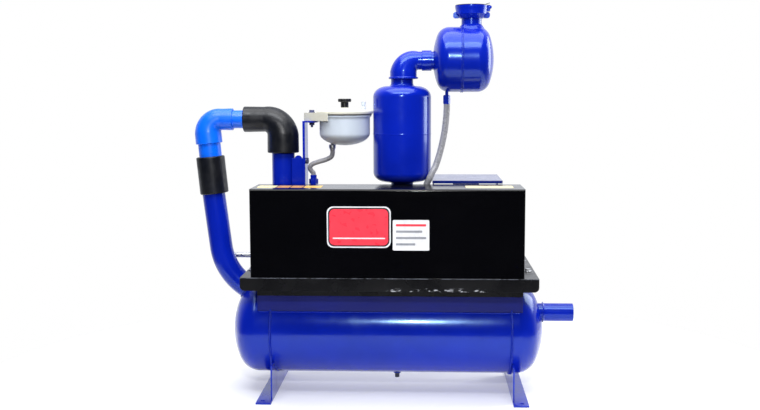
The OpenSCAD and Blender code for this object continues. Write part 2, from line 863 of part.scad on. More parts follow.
module exhaust_port() {
    color(blue) translate([pump_x + port_x, 0, shaft_z]) port_pipe(vessel_z0 - shaft_z - 30);
    color(blue) translate([exhaust_x, 0, 0]) {
        tube(45, pipe_r, vessel_z0 - 60, vessel_z0 - 30);
        tube(45, vessel_neck_r, vessel_z0 - 30, vessel_z0 - 12);
    }
}

sleeve_low = [-604.6, 667.7];
sleeve_len = 125;
sleeve_round = [[0, 3.7], [0.008, 1.5], [0.03, 0], [0.5, 0], [0.97, 0], [0.992, 1.5], [1, 3.7]];

module suction_bend() {
    function at(a) = [bend_c[0] - bend_r * cos(a), 0, bend_c[1] - bend_r * sin(a)];
    function out(a) = [cos(a), 0, sin(a)];
    function down(a) = [sin(a), 0, -cos(a)];
    n = 14;
    turn = [for (i = [0:n]) let (a = bend_a0 + (bend_a1 - bend_a0) * i / n)
        [at(a), out(a), pipe_r, pipe_in]];
    top = [at(bend_a0) - down(bend_a0) * bend_top, out(bend_a0), pipe_r, pipe_in];
    end = [at(bend_a1) + down(bend_a1) * 75, out(bend_a1), pipe_r, pipe_in];
    color(blue) difference() {
        ring_tube(concat([top], turn, [end]), 48);
        tank_room();
    }
}

bend_top = 213;

// Rubber sleeve: its axis turns from the lean of the pipe to that of the plastic stub
module rubber_sleeve() {
    a0 = bend_a0 - 1;
    a1 = pvc_lean;
    function lean(t) = a0 + (a1 - a0) * t;
    function at(t) = [
        sleeve_low[0] - sleeve_len * t * sin((a0 + lean(t)) / 2), 0,
        sleeve_low[1] + sleeve_len * t * cos((a0 + lean(t)) / 2)
    ];
    color(rubber_black) ring_tube([for (e = sleeve_round)
        [at(e[0]), [-cos(lean(e[0])), 0, -sin(lean(e[0]))], sleeve_d / 2 - e[1], pipe_r + 0.3]
    ], 48);
}

pvc_lean = 5;
pvc_x = -619.3;
pvc_z = 836;
stub_r = 37.5;
stub_wall = 4;

module pvc_stub_lower() {
    color(pvc_blue) translate([pvc_x, 0, pvc_z]) rotate([0, -pvc_lean, 0])
        tube(stub_r, stub_r - stub_wall, -92, 34);
}

module pvc_elbow() {
    color(pvc_blue)
        reducing_elbow([pvc_x + 44.2, 876], 1, pvc_z, -537, 47.5, 44, 40.4, 35.5, 5.5, 0.5, 1,
            pvc_lean);
}

module pvc_stub_upper() {
    color(pvc_blue) along_x([0, 0, 916.4]) tube(29.9, 26, -560, -470);
}

module rubber_elbow() {
    color(rubber_black) difference() {
        reducing_elbow([suction_x - 63.3, rubber_z + 61], -1, rubber_z, -500,
            63.3, 52.2, 50.4, 41.5, 12, 0.6, 1.2);
        translate([suction_x, 0, 0]) rod(pipe_r, rubber_z - 1, rubber_z + 60);
    }
}

// ---- oil cup ----

bracket_y = -30;
bar_x = -300;
bar_t = 8;
bar_bolt_y = -9;
bar_bolt_z = shaft_z + 226;
bolt_x = -272;
oil_in_x = -268;
ear_z = cup_z - 21.5;
lid_z = cup_z;

module bracket_plate() {
    color(blue) difference() {
        union() {
            box([-337, bracket_y, shaft_z + 103], [bar_x - 0.05, bracket_y + 6, shaft_z + 236]);
            box([bar_x - 6, bracket_y, shaft_z + 103], [bar_x - 0.05, 10, shaft_z + 236]);
            translate([suction_x, 0, 0]) rod(pipe_r + 8, shaft_z + 103, shaft_z + 133);
            along_y([-316, bracket_y + 6, shaft_z + 232]) rod(13, 0, 5);
        }
        translate([suction_x, 0, 0]) rod(pipe_r + 0.02, shaft_z + 90, shaft_z + 150);
        along_x([0, bar_bolt_y, bar_bolt_z]) rod(4.2, bar_x - 10, bar_x + 1);
    }
}

module cup_bracket() {
    z1 = ear_z - 0.5;
    color(blue) difference() {
        union() {
            box([bar_x, bracket_y - 4, shaft_z + 120], [bar_x + bar_t, 50, z1]);
            box([bar_x, bracket_y - 4, z1 - 5], [-250, 20, z1]);
        }
        translate([bolt_x, 0, 0]) rod(4.2, z1 - 20, z1 + 5);
        along_x([0, bar_bolt_y, bar_bolt_z]) rod(4.2, bar_x - 1, bar_x + bar_t + 1);
    }
}

module bracket_bolts() {
    z1 = ear_z + 26.5;
    color(blue) translate([bolt_x, 0, 0]) {
        rod(4, ear_z - 22, z1 + 2);
        rod(11, z1, z1 + 2);
        hex(15, z1 + 2, z1 + 9);
        rod(11, ear_z - 7.5, ear_z - 5.5);
        hex(15, ear_z - 15, ear_z - 7.5);
    }
    color(blue) along_x([0, bar_bolt_y, bar_bolt_z]) {
        rod(4, bar_x - 16, bar_x + bar_t + 10);
        rod(10, bar_x + bar_t + 0.05, bar_x + bar_t + 2);
        hex(17, bar_x + bar_t + 2, bar_x + bar_t + 9);
        hex(15, bar_x - 13, bar_x - 6.1);
    }
}

module cup_head() {
    arm_reach = bowl_r + 14;
    color(off_white) difference() {
        union() {
            translate([cup_x, 0, lid_z]) rotate_extrude() polygon([
                [0, 0], [lid_r - 3, 0], [lid_r, 3], [lid_r, 9], [lid_r - 3, 12],
                [30, 19], [16, 22], [0, 22]
            ]);
            translate([0, 0, ear_z]) linear_extrude(height = 26.5) difference() {
                hull() {
                    translate([-284, 0]) circle(r = 14);
                    translate([cup_x - arm_reach * cos(60), 0])
                        square([1, 2 * arm_reach * sin(60)], center = true);
                }
            }
        }
        translate([cup_x, 0, 0]) rod(bowl_r + 8, ear_z - 5, lid_z);
        translate([cup_x, 0, 0]) rod(bowl_r - 6, lid_z - 1, lid_z + 5);
        translate([cup_x, 0, 0]) rod(4.05, lid_z - 5, lid_z + 40);
        translate([cup_x + 63, 0, 0]) rod(4, lid_z - 5, lid_z + 40);
        translate([cup_x + 63, 0, 0]) rod(8.05, lid_z + 15.4, lid_z + 40);
        translate([bolt_x, 0, 0]) rod(4.2, ear_z - 5, lid_z + 40);
    }
}

module cup_knob() {
    color(black) translate([cup_x, 0, 0]) {
        rod(4, lid_z - 60, lid_z + 30);
        rod(13, lid_z + 22.3, lid_z + 40);
        difference() {
            rotate_extrude() polygon([
                [0, lid_z + 40], [knob_d / 2 - 2, lid_z + 40], [knob_d / 2, lid_z + 42],
                [knob_d / 2, lid_z + 49], [knob_d / 2 - 2, lid_z + 51], [0, lid_z + 51]
            ]);
            for (a = [0:30:330]) rotate([0, 0, a])
                translate([knob_d / 2 + 1.5, 0, 0]) rod(3, lid_z + 39, lid_z + 52);
        }
        rod(6, lid_z - 64, lid_z - 58);
    }
}

module lid_vent() {
    color(clear) translate([cup_x + 63, 0, 0]) {
        tube(4, 2.4, lid_z - 4, lid_z + 30);
        tube(8, 4, lid_z + 15.4, lid_z + 22);
        tube(7, 2.4, lid_z + 30, lid_z + 41);
        tube(5.5, 4, lid_z + 22, lid_z + 30);
    }
}

module cup_gasket() {
    color(rubber_black) translate([cup_x, 0, 0]) {
        tube(bowl_r + 6, bowl_r - 6, lid_z - 3.5, lid_z);
        translate([0, -bowl_r - 5, lid_z - 1.75]) cube([10, 5, 3.5], center = true);
    }
}

module oil_bowl() {
    h = 100;
    dip = 40;
    wall = 3;
    function dome(g) =
        [for (i = [0:16]) let (a = -90 + 90 * i / 16)
            [(bowl_r - g) * cos(a), dip + (dip - g) * sin(a)]];
    back = dome(wall);
    outer = concat(dome(0), [[bowl_r, h - 5], [bowl_r + 5, h - 5], [bowl_r + 5, h]]);
    inner = concat([[bowl_r - wall, h]], [for (i = [16:-1:0]) back[i]]);
    color(clear) difference() {
        translate([cup_x, 0, lid_z - 3.5 - h]) rotate_extrude() polygon(concat(outer, inner));
        translate([outlet_cup_x, 0, 0]) rod(6, lid_z - 110, lid_z - 80);
    }
}

outlet_cup_x = -203.7;
bowl_bottom = lid_z - 100.5;

module bowl_outlet() {
    color(steel) translate([outlet_cup_x, 0, 0]) {
        difference() {
            union() {
                rod(5.9, bowl_bottom - 2, bowl_bottom + 13);
                rod(11.7, bowl_bottom - 14, bowl_bottom - 0.6);
                rod(9, bowl_bottom - 20, bowl_bottom - 14);
                rod(4.6, bowl_bottom - 30, bowl_bottom - 20);
            }
            rod(3, bowl_bottom - 50, bowl_bottom + 10);
        }
        tube(9, 5.9, bowl_bottom + 9, bowl_bottom + 13);
    }
}

oil_path = [
    [-203.7, 0, 812.5], [-203.7, 0, 803], [-208, 0, 791], [-224, -2, 782], [-248, -6, 775],
    [-270, -8, 767], [-280, -6, 755], [-275, -2, 744], [-269, 0, 737], [-268, 0, 730]
];

module oil_hose() {
    color(clear) hose(curve(oil_path, 6), 8, 5.2);
}

module oil_inlet_fitting() {
    color(blue) translate([oil_in_x, 0, 0]) difference() {
        union() {
            rod(4.4, shaft_z + 178, shaft_z + 184);
            rod(10.5, shaft_z + 164, shaft_z + 178);
            hex(27, shaft_z + 148, shaft_z + 165);
            rod(8, shaft_z + 100, shaft_z + 148);
            hex(22, shaft_z + 90, shaft_z + 100);
        }
        rod(3.5, shaft_z + 80, shaft_z + 190);
    }
}

// ---- exhaust ----

vessel_z0 = tray_z + 284;
vessel_low = vessel_z0 + 32;
vessel_high = tray_z + 565;
vessel_top = tray_z + 601;
vessel_neck_r = 36.8;
vessel_wall = 3;
elbow_z = tray_z + 624;

// Outline of the vessel as radius and height, g is how far it is moved inward
function vessel_outline(g) =
    let (r = vessel_d / 2 - g, e = vessel_low - vessel_z0 - g, t = vessel_top - vessel_high - g)
    concat(
        [for (i = [0:12]) let (a = -90 + 90 * i / 12)
            [r - e * 1.25 + e * 1.25 * cos(a), vessel_low + e * sin(a)]],
        [for (i = [0:12]) let (a = 90 * i / 12)
            [r - t * 1.3 + t * 1.3 * cos(a), vessel_high + t * sin(a)]]
    );

module silencer_vessel() {
    mid = tray_z + 444;
    r = vessel_d / 2;
    color(blue) translate([vessel_x, 0, 0]) difference() {
        union() {
            rotate_extrude() polygon(concat(
                [[0, vessel_z0]], vessel_outline(0), [[0, vessel_top]]
            ));
            rotate_extrude() polygon([
                [r - 2, mid - 4], [r, mid - 3], [r + 1, mid], [r, mid + 3], [r - 2, mid + 4]
            ]);
            rod(vessel_neck_r, vessel_z0 - 30, vessel_z0 + 6);
            rod(vessel_neck_r, vessel_top - 6, elbow_z);
            rotate_extrude() polygon([
                [30, vessel_top - 3], [vessel_neck_r + 7, vessel_top - 1],
                [vessel_neck_r + 2, vessel_top + 3], [vessel_neck_r, vessel_top + 9],
                [30, vessel_top + 9]
            ]);
        }
        rotate_extrude() polygon(concat(
            [[0, vessel_z0 + vessel_wall]], vessel_outline(vessel_wall),
            [[0, vessel_top - vessel_wall]]
        ));
        rod(vessel_neck_r - 3, vessel_z0 - 40, elbow_z + 5);
    }
}

module exhaust_elbow() {
    px = vessel_x + 54;
    color(blue) {
        reducing_elbow([px, elbow_z + 25], 1, elbow_z, 113, 49.5, 44.2, 35, 29.9, 5);
        translate([px - 49.5, 0, 0]) rotate_extrude() translate([44, elbow_z + 3.5])
            intersection() {
                circle(r = 5, $fn = 24);
                translate([-2, -3.5]) square([10, 7]);
            }
    }
}

pipe_z = elbow_z + 60;

module separator_coupling() {
    color(blue) along_x([0, 0, pipe_z]) rotate_extrude() polygon([
        [30.1, 94], [32, 94], [33.5, 96], [33.5, 126], [30.1, 126]
    ]);
}

drum_x0 = 131;
drum_x1 = 330;
drum_wall = 3;
drum_crown = 230;
drum_knuckle = 42;
neck_x = 257;
neck_r_out = 33;
collar_z = drum_z + 139;
drum_r = drum_d / 2;

// Drum body about the Z axis, pushed inward by g
module drum_shape(g) {
    r = drum_r - g;
    d = dish_depth(drum_r, drum_crown, drum_knuckle);
    translate([0, 0, drum_x1 - d]) dish_solid(r, drum_crown - g, drum_knuckle - g, 60);
    translate([0, 0, drum_x0 + d]) rotate([180, 0, 0])
        dish_solid(r, drum_crown - g, drum_knuckle - g, 60);
}

module separator_drum() {
    color(blue) difference() {
        union() {
            along_x([0, 0, drum_z]) {
                drum_shape(0);
                rotate_extrude() polygon([
                    [drum_r - 2, 220], [drum_r, 221.5], [drum_r + 0.9, 225],
                    [drum_r, 228.5], [drum_r - 2, 230]
                ]);
                translate([3, 0, 0]) rod(29.9, 113.5, drum_x0 + 12);
            }
            translate([neck_x, 0, 0]) rod(neck_r_out, drum_z + 80, collar_z);
            translate([neck_x, 0, 0]) rotate_extrude() polygon([
                [26, drum_z + 92], [neck_r_out + 14, drum_z + 92],
                [neck_r_out + 6, drum_z + 106], [neck_r_out, drum_z + 114], [26, drum_z + 114]
            ]);
        }
        along_x([0, 0, drum_z]) {
            drum_shape(drum_wall);
            translate([3, 0, 0]) rod(27, 110, drum_x0 + 30);
        }
        translate([neck_x, 0, 0]) rod(neck_r_out - 3, drum_z + 60, collar_z + 1);
        translate([drain_hose_x, 0, 0]) rod(5.5, drum_z - drum_r - 10, drum_z - 60);
    }
}

module outlet_collar() {
    r = collar_d / 2;
    z1 = tray_z + 861;
    color(blue) difference() {
        union() {
            translate([collar_x, 0, 0]) rotate_extrude() polygon([
                [0, collar_z - 6], [neck_r_out + 5, collar_z - 6], [r - 8, collar_z + 2],
                [r - 3, collar_z + 8], [r - 2, collar_z + 20], [r, z1 - 5], [r, z1], [0, z1]
            ]);
            for (x = [-49, 48]) translate([collar_x + x, 9, collar_z + 4.5]) rotate([90, 0, 0])
                linear_extrude(height = 18) round_rect(23, 20, 8);
            for (y = [-8, 11]) translate([0, y, 0]) rotate([90, 0, 0]) linear_extrude(height = 3) {
                translate([hinge_x, hinge_z]) circle(r = 5, $fn = 32);
                translate([collar_x + r - 8, hinge_z - 13]) square([hinge_x - collar_x - r + 8, 18]);
            }
        }
        translate([collar_x, 0, 0]) rotate_extrude() polygon([
            [0, collar_z - 10], [neck_r_out, collar_z - 10], [neck_r_out, collar_z + 3],
            [r - 6, collar_z + 12], [r - 3, z1 + 1], [0, z1 + 1]
        ]);
    }
    color(steel) along_y([hinge_x, 0, hinge_z]) {
        rod(2.5, -13, 13);
        rod(4, -14, -10.5);
        rod(4, 10.5, 14);
    }
}

module rain_flap() {
    z = tray_z + 861.6;
    color(black) {
        difference() {
            union() {
                translate([collar_x, 0, 0]) rod(collar_d / 2 - 1, z, z + 1.6);
                box([collar_x + 40, -7, z], [hinge_x, 7, z + 1.6]);
                along_y([hinge_x, -7.4, hinge_z]) rod(5.5, 0, 14.8);
                box([hinge_x - 5.5, -7, hinge_z], [hinge_x, 7, z + 1]);
            }
            along_y([hinge_x, -12, hinge_z]) rod(2.55, 0, 24);
        }
        translate([hinge_x - 22, -6, z + 1]) rotate([0, -17, 0]) cube([22, 12, 1.6]);
    }
}

drain_hose_x = 177;
return_x = 106;
return_y = -42;

module drain_fitting() {
    z = drum_z - drum_r;
    color(blue) translate([drain_hose_x, 0, 0]) difference() {
        union() {
            rod(5.5, z - 40, z + 10);
            hex(20.5, z - 38, z - 12);
            rod(10.5, z - 40, z - 10);
            rod(7.2, z - 50, z - 38);
        }
        rod(3.5, z - 70, z + 20);
    }
}

drain_path = [
    [177, 0, 965], [177, 0, 954], [176.4, 0, 937], [174.5, -2, 912], [170, -5, 875],
    [162.5, -11, 837], [153, -20, 799], [140.5, -32, 762], [130.5, -42, 744], [121.5, -47.6, 724],
    [112.8, -43.8, 707], [107.6, -42.2, 691], [return_x, return_y, 678]
];

module drain_hose() {
    color(clear) hose(curve(drain_path, 6), 10.5, 7.6);
}

module return_fitting() {
    zl = tray_z + 216;
    color(blue) {
        difference() {
            along_x([0, return_y / 2, zl]) rod(8, 55, return_x);
            translate([exhaust_x, 0, 0]) rod(pipe_r + 0.02, zl - 30, zl + 30);
        }
        along_y([return_x, 0, zl]) rod(8, return_y, return_y / 2);
        for (y = [return_y, return_y / 2]) translate([return_x, y, zl]) sphere(r = 8, $fn = 48);
        translate([return_x, return_y, 0]) {
            rod(10.4, zl, zl + 38);
            rod(7, zl, zl + 48);
            hex(19, zl + 14, zl + 28);
        }
    }
}

module stay_rod() {
    color(steel) along_x([0, stay_y, tray_z + 26]) {
        rod(9.5, -590, pump_x - 70);
    }
}

stay_y = 47.6;

// ---- assembly ----

tank_shell();
tank_end_left();
tank_end_right();
outlet_pipe();
drain_plug();
foot_left();
foot_right();
saddle_frame();
tray_rails();
base_tray();
tray_bolts();
belt_guard();
pump_body();
pump_front_cover();
pump_rear_cover();
ball_bearings();
pump_rotor();
rotor_vanes();
pump_pulley();
motor_frame();
motor_front_shield();
motor_rear_shield();
motor_stator();
motor_rotor();
motor_fan();
fan_cover();
terminal_box();
motor_pulley();
v_belts();
motor_rails();
motor_canopy();
suction_port();
exhaust_port();
suction_bend();
rubber_sleeve();
pvc_stub_lower();
pvc_elbow();
pvc_stub_upper();
rubber_elbow();
bracket_plate();
cup_bracket();
bracket_bolts();
cup_head();
cup_knob();
lid_vent();
cup_gasket();
oil_bowl();
bowl_outlet();
oil_hose();
oil_inlet_fitting();
silencer_vessel();
exhaust_elbow();
separator_coupling();
separator_drum();
outlet_collar();
rain_flap();
drain_fitting();
drain_hose();
return_fitting();
stay_rod();
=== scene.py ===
import json
import math

import bmesh
import bpy
from mathutils import Matrix, Vector
from mathutils.bvhtree import BVHTree

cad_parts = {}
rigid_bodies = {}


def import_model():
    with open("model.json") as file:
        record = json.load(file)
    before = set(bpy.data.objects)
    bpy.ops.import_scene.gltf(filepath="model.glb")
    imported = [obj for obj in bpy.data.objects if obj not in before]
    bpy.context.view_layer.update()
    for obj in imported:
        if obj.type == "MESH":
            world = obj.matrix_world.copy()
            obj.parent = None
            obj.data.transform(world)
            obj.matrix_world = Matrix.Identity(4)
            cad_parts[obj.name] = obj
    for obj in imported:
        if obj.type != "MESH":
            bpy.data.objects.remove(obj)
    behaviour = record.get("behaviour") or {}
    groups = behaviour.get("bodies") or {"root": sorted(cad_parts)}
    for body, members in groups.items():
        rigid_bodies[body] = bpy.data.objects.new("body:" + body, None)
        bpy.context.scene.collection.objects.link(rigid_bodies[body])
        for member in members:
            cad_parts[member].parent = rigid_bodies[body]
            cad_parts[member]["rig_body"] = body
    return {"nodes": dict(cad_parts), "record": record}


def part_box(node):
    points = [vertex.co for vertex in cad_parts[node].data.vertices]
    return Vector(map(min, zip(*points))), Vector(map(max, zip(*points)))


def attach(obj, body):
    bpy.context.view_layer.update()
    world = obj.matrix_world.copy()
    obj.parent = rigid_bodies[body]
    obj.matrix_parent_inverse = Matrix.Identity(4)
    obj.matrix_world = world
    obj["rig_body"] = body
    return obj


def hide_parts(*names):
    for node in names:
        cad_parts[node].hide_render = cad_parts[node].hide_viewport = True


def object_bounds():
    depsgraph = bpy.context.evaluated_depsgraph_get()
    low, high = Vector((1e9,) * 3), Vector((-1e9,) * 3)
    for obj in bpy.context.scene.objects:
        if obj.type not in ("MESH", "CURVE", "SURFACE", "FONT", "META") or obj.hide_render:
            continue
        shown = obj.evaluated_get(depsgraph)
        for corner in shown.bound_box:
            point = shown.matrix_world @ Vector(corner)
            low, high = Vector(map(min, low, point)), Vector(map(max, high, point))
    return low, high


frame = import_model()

cad_lo, cad_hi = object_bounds()
N = frame["nodes"]  # the carried-over CAD nodes, by name
scene = bpy.context.scene
mm = 0.001

# ---------------------------------------------------------------- camera, light, backdrop

cam_data = bpy.data.cameras.new("camera")
cam = bpy.data.objects.new("camera", cam_data)
scene.collection.objects.link(cam)
cam_data.sensor_width = 36.0
cam_data.lens = 47.37
# the photo's viewing angle: nearly square on, turned a little to the left and down
cam_right = Vector((0.99886, 0.04768, -0.00298)).normalized()
cam_up = Vector((-0.00208, 0.10578, 0.99438)).normalized()
cam_back = cam_right.cross(cam_up).normalized()
turn = Matrix((cam_right, cam_up, cam_back)).transposed()
cam.matrix_world = Matrix.Translation((0.115, -3.3345, 0.9838)) @ turn.to_4x4()
cam_data.clip_end = 100
scene.camera = cam
scene.view_settings.view_transform = "Standard"


def area_light(name, place, aim, size, power, colour=(1, 1, 1)):
    data = bpy.data.lights.new(name, "AREA")
    data.shape = "RECTANGLE"
    data.size, data.size_y = size
    data.energy = power
    data.color = colour
    light = bpy.data.objects.new(name, data)
    scene.collection.objects.link(light)
    light.location = place
    light.rotation_euler = (Vector(aim) - Vector(place)).to_track_quat("-Z", "Y").to_euler()
    return light


area_light("top_box", (0.0, -0.3, 3.2), (0.0, 0.0, 0.0), (3.2, 2.2), 88)
area_light("window", (-0.1, -1.75, 3.2), (0.0, 0.0, 0.8), (3.0, 0.9), 75, (0.93, 0.96, 1.0))
area_light("flash", (0.05, -3.1, 1.75), (0.0, 0.0, 0.7), (0.08, 0.08), 42)
area_light("right_box", (1.5, 0.55, 1.35), (0.35, 0.0, 1.1), (0.9, 1.2), 20)

# backdrop: white to the camera; what the paint reflects is dark in front and pale behind
world = bpy.data.worlds.new("studio")
scene.world = world
world.use_nodes = True
world_tree = world.node_tree
world_tree.nodes.clear()
world_out = world_tree.nodes.new("ShaderNodeOutputWorld")
backdrop = world_tree.nodes.new("ShaderNodeBackground")
direction = world_tree.nodes.new("ShaderNodeTexCoord")
direction_axes = world_tree.nodes.new("ShaderNodeSeparateXYZ")
depth = world_tree.nodes.new("ShaderNodeMapRange")
surroundings = world_tree.nodes.new("ShaderNodeMix")
ray_kind = world_tree.nodes.new("ShaderNodeLightPath")
seen = world_tree.nodes.new("ShaderNodeMix")
for m in (surroundings, seen):
    m.data_type = "RGBA"
depth.interpolation_type = "SMOOTHSTEP"
depth.inputs["From Min"].default_value = -0.25
depth.inputs["From Max"].default_value = 0.65
surroundings.inputs["A"].default_value = (0.045, 0.048, 0.06, 1)
surroundings.inputs["B"].default_value = (0.90, 0.93, 1.0, 1)
seen.inputs["B"].default_value = (1.0, 1.0, 1.0, 1)
world_tree.links.new(direction.outputs["Generated"], direction_axes.inputs[0])
world_tree.links.new(direction_axes.outputs["Y"], depth.inputs["Value"])
world_tree.links.new(depth.outputs["Result"], surroundings.inputs["Factor"])
world_tree.links.new(surroundings.outputs["Result"], seen.inputs["A"])
world_tree.links.new(ray_kind.outputs["Is Camera Ray"], seen.inputs["Factor"])
world_tree.links.new(seen.outputs["Result"], backdrop.inputs["Color"])
world_tree.links.new(backdrop.outputs[0], world_out.inputs[0])
backdrop.inputs["Strength"].default_value = 1.0


# ---------------------------------------------------------------- material kit

class Mat:
    """A principled material with a small set of helpers for its node tree."""

    def __init__(self, name):
        self.m = bpy.data.materials.new(name)
        self.m.use_nodes = True
        self.t = self.m.node_tree
        self.p = self.t.nodes["Principled BSDF"]
        tc = self.t.nodes.new("ShaderNodeTexCoord")
        self.co = tc.outputs["Object"]
        self.geo = self.t.nodes.new("ShaderNodeNewGeometry")

    def set(self, **values):
        for k, v in values.items():
            self.p.inputs[k.replace("_", " ")].default_value = v
        return self

    def link(self, a, b):
        self.t.links.new(a, b)

    def noise(self, scale, detail=3.0, rough=0.5, distort=0.0, co=None):
        """Noise from 0 to 1 in object space, with the scale in cells per metre."""
        n = self.t.nodes.new("ShaderNodeTexNoise")
        n.inputs["Scale"].default_value = scale
        n.inputs["Detail"].default_value = detail
        n.inputs["Roughness"].default_value = rough
        n.inputs["Distortion"].default_value = distort
        self.link(co or self.co, n.inputs["Vector"])
        return n.outputs["Fac"]

    def stretch(self, sx, sy, sz):
        n = self.t.nodes.new("ShaderNodeMapping")
        n.inputs["Scale"].default_value = (sx, sy, sz)
        self.link(self.co, n.inputs["Vector"])
        return n.outputs["Vector"]

    def span(self, value, a, b, c=0.0, d=1.0):
        """Smooth step of value: c up to a, d from b on."""
        n = self.t.nodes.new("ShaderNodeMapRange")
        n.interpolation_type = "SMOOTHSTEP"
        n.inputs["From Min"].default_value = a
        n.inputs["From Max"].default_value = b
        n.inputs["To Min"].default_value = c
        n.inputs["To Max"].default_value = d
        self.link(value, n.inputs["Value"])
        return n.outputs["Result"]

    def math(self, op, a, b):
        n = self.t.nodes.new("ShaderNodeMath")
        n.operation = op
        for i, v in enumerate((a, b)):
            if isinstance(v, (int, float)):
                n.inputs[i].default_value = v
            else:
                self.link(v, n.inputs[i])
        return n.outputs[0]

    def mix(self, fac, a, b):
        n = self.t.nodes.new("ShaderNodeMix")
        n.data_type = "RGBA"
        self.link(fac, n.inputs["Factor"])
        for key, v in (("A", a), ("B", b)):
            if isinstance(v, (tuple, list)):
                n.inputs[key].default_value = (*v[:3], 1)
            else:
                self.link(v, n.inputs[key])
        return n.outputs["Result"]

    def axis(self, name, source=None):
        n = self.t.nodes.new("ShaderNodeSeparateXYZ")
        self.link(source or self.co, n.inputs[0])
        return n.outputs[name]

    def bump(self, height, strength, distance, after=None):
        n = self.t.nodes.new("ShaderNodeBump")
        n.inputs["Strength"].default_value = strength
        n.inputs["Distance"].default_value = distance
        self.link(height, n.inputs["Height"])
        if after is not None:
            self.link(after, n.inputs["Normal"])
        return n.outputs["Normal"]

    def colour(self, socket):
        self.link(socket, self.p.inputs["Base Color"])
        return self

    def rough(self, socket):
        self.link(socket, self.p.inputs["Roughness"])
        return self

    def normal(self, socket):
        self.link(socket, self.p.inputs["Normal"])
        return self


def scaled(c, k):
    return tuple(min(1.0, x * k) for x in c)


DUST = (0.42, 0.40, 0.37)


def enamel(name, base, rough=(0.14, 0.26), coat=0.3, gloss=0.4, peel=0.05, dust=0.05,
           wear=0.25, under=(0.12, 0.11, 0.10), tint=(1, 1, 1)):
    """Sprayed gloss paint: orange peel, uneven film, dust on top faces and thin worn edges."""
    m = Mat(name).set(Coat_Weight=coat, Coat_Roughness=0.06, Specular_IOR_Level=gloss,
                      Specular_Tint=(*tint, 1))
    film = m.noise(4.0, 4, 0.6)
    tone = m.mix(m.span(film, 0.3, 0.7), scaled(base, 0.86), scaled(base, 1.1))
    up = m.span(m.axis("Z", m.geo.outputs["Normal"]), 0.55, 1.0)
    grains = m.span(m.noise(38.0, 5, 0.65), 0.35, 0.75)
    dusty = m.math("MULTIPLY", m.math("MULTIPLY", up, grains), dust)
    tone = m.mix(dusty, tone, DUST)
    specks = m.span(m.noise(240.0, 2, 0.5), 0.72, 0.78)
    tone = m.mix(m.math("MULTIPLY", specks, 0.12), tone, scaled(base, 0.35))
    edge = m.span(m.geo.outputs["Pointiness"], 0.56, 0.66)
    ragged = m.span(m.noise(90.0, 4, 0.7), 0.50, 0.68)
    worn = m.math("MULTIPLY", m.math("MULTIPLY", edge, ragged), wear)
    tone = m.mix(worn, tone, under)
    m.colour(tone)
    haze = m.span(m.noise(11.0, 4, 0.6), 0.25, 0.8, rough[0], rough[1])
    m.rough(m.math("ADD", haze, m.math("MULTIPLY", dusty, 1.6)))
    peel_n = m.bump(m.noise(170.0, 2, 0.5), peel, 0.0012)
    m.normal(m.bump(m.noise(14.0, 2, 0.5), 0.05, 0.004, peel_n))
    return m.m


def rubber(name):
    """Moulded rubber: fine grain, cloudy bloom and scuffs."""
    m = Mat(name).set(Specular_IOR_Level=0.42)
    bloom = m.span(m.noise(16.0, 5, 0.65), 0.4, 0.8)
    tone = m.mix(m.math("MULTIPLY", bloom, 0.45), (0.0030, 0.0038, 0.0068),
                 (0.013, 0.016, 0.028))
    scuff = m.span(m.noise(60.0, 6, 0.75, 0.6, m.stretch(1, 1, 0.25)), 0.62, 0.74)
    tone = m.mix(m.math("MULTIPLY", scuff, 0.22), tone, (0.06, 0.065, 0.08))
    m.colour(tone)
    m.rough(m.span(m.noise(30.0, 4), 0.3, 0.7, 0.30, 0.48))
    lumps = m.bump(m.noise(25.0, 3), 0.08, 0.002)
    m.normal(m.bump(m.noise(420.0, 3, 0.6), 0.12, 0.0006, lumps))
    return m.m


def plastic(name, base, rough=(0.25, 0.4), alt=None):
    """Moulded plastic: slight clouding and fine scratches."""
    m = Mat(name).set(Specular_IOR_Level=0.5)
    alt = alt or scaled(base, 1.15)
    tone = m.mix(m.span(m.noise(9.0, 4, 0.6), 0.3, 0.7), base, alt)
    mark = m.span(m.noise(70.0, 5, 0.75, 0.4), 0.66, 0.76)
    tone = m.mix(m.math("MULTIPLY", mark, 0.15), tone, scaled(base, 0.5))
    m.colour(tone)
    m.rough(m.span(m.noise(26.0, 4), 0.3, 0.7, *rough))
    m.normal(m.bump(m.noise(300.0, 2), 0.05, 0.0005))
    return m.m


def metal(name, base=(0.56, 0.57, 0.59), rough=(0.22, 0.42), brush=(1, 1, 1), grime=0.25):
    """Bare or plated steel and copper: brushed lines and grime."""
    m = Mat(name).set(Metallic=1.0)
    lines = m.noise(160.0, 4, 0.7, 0.0, m.stretch(*brush))
    tone = m.mix(m.span(lines, 0.3, 0.7), scaled(base, 0.82), scaled(base, 1.12))
    dirt = m.span(m.noise(35.0, 6, 0.7), 0.52, 0.75)
    tone = m.mix(m.math("MULTIPLY", dirt, grime), tone, (0.10, 0.085, 0.07))
    m.colour(tone)
    m.rough(m.math("ADD", m.span(lines, 0.3, 0.7, *rough), m.math("MULTIPLY", dirt, 0.2)))
    m.normal(m.bump(lines, 0.06, 0.0004))
    return m.m


def cast(name):
    """Painted cast iron with oily patches."""
    base = (0.06, 0.065, 0.075)
    m = Mat(name).set(Specular_IOR_Level=0.45)
    tone = m.mix(m.span(m.noise(20.0, 5, 0.65), 0.3, 0.7), scaled(base, 0.75), scaled(base, 1.3))
    oil = m.span(m.noise(7.0, 4), 0.55, 0.7)
    tone = m.mix(m.math("MULTIPLY", oil, 0.5), tone, scaled(base, 0.45))
    m.colour(tone)
    m.rough(m.span(m.noise(50.0, 4), 0.3, 0.7, 0.35, 0.6))
    m.normal(m.bump(m.noise(260.0, 4, 0.6), 0.25, 0.0012))
    return m.m


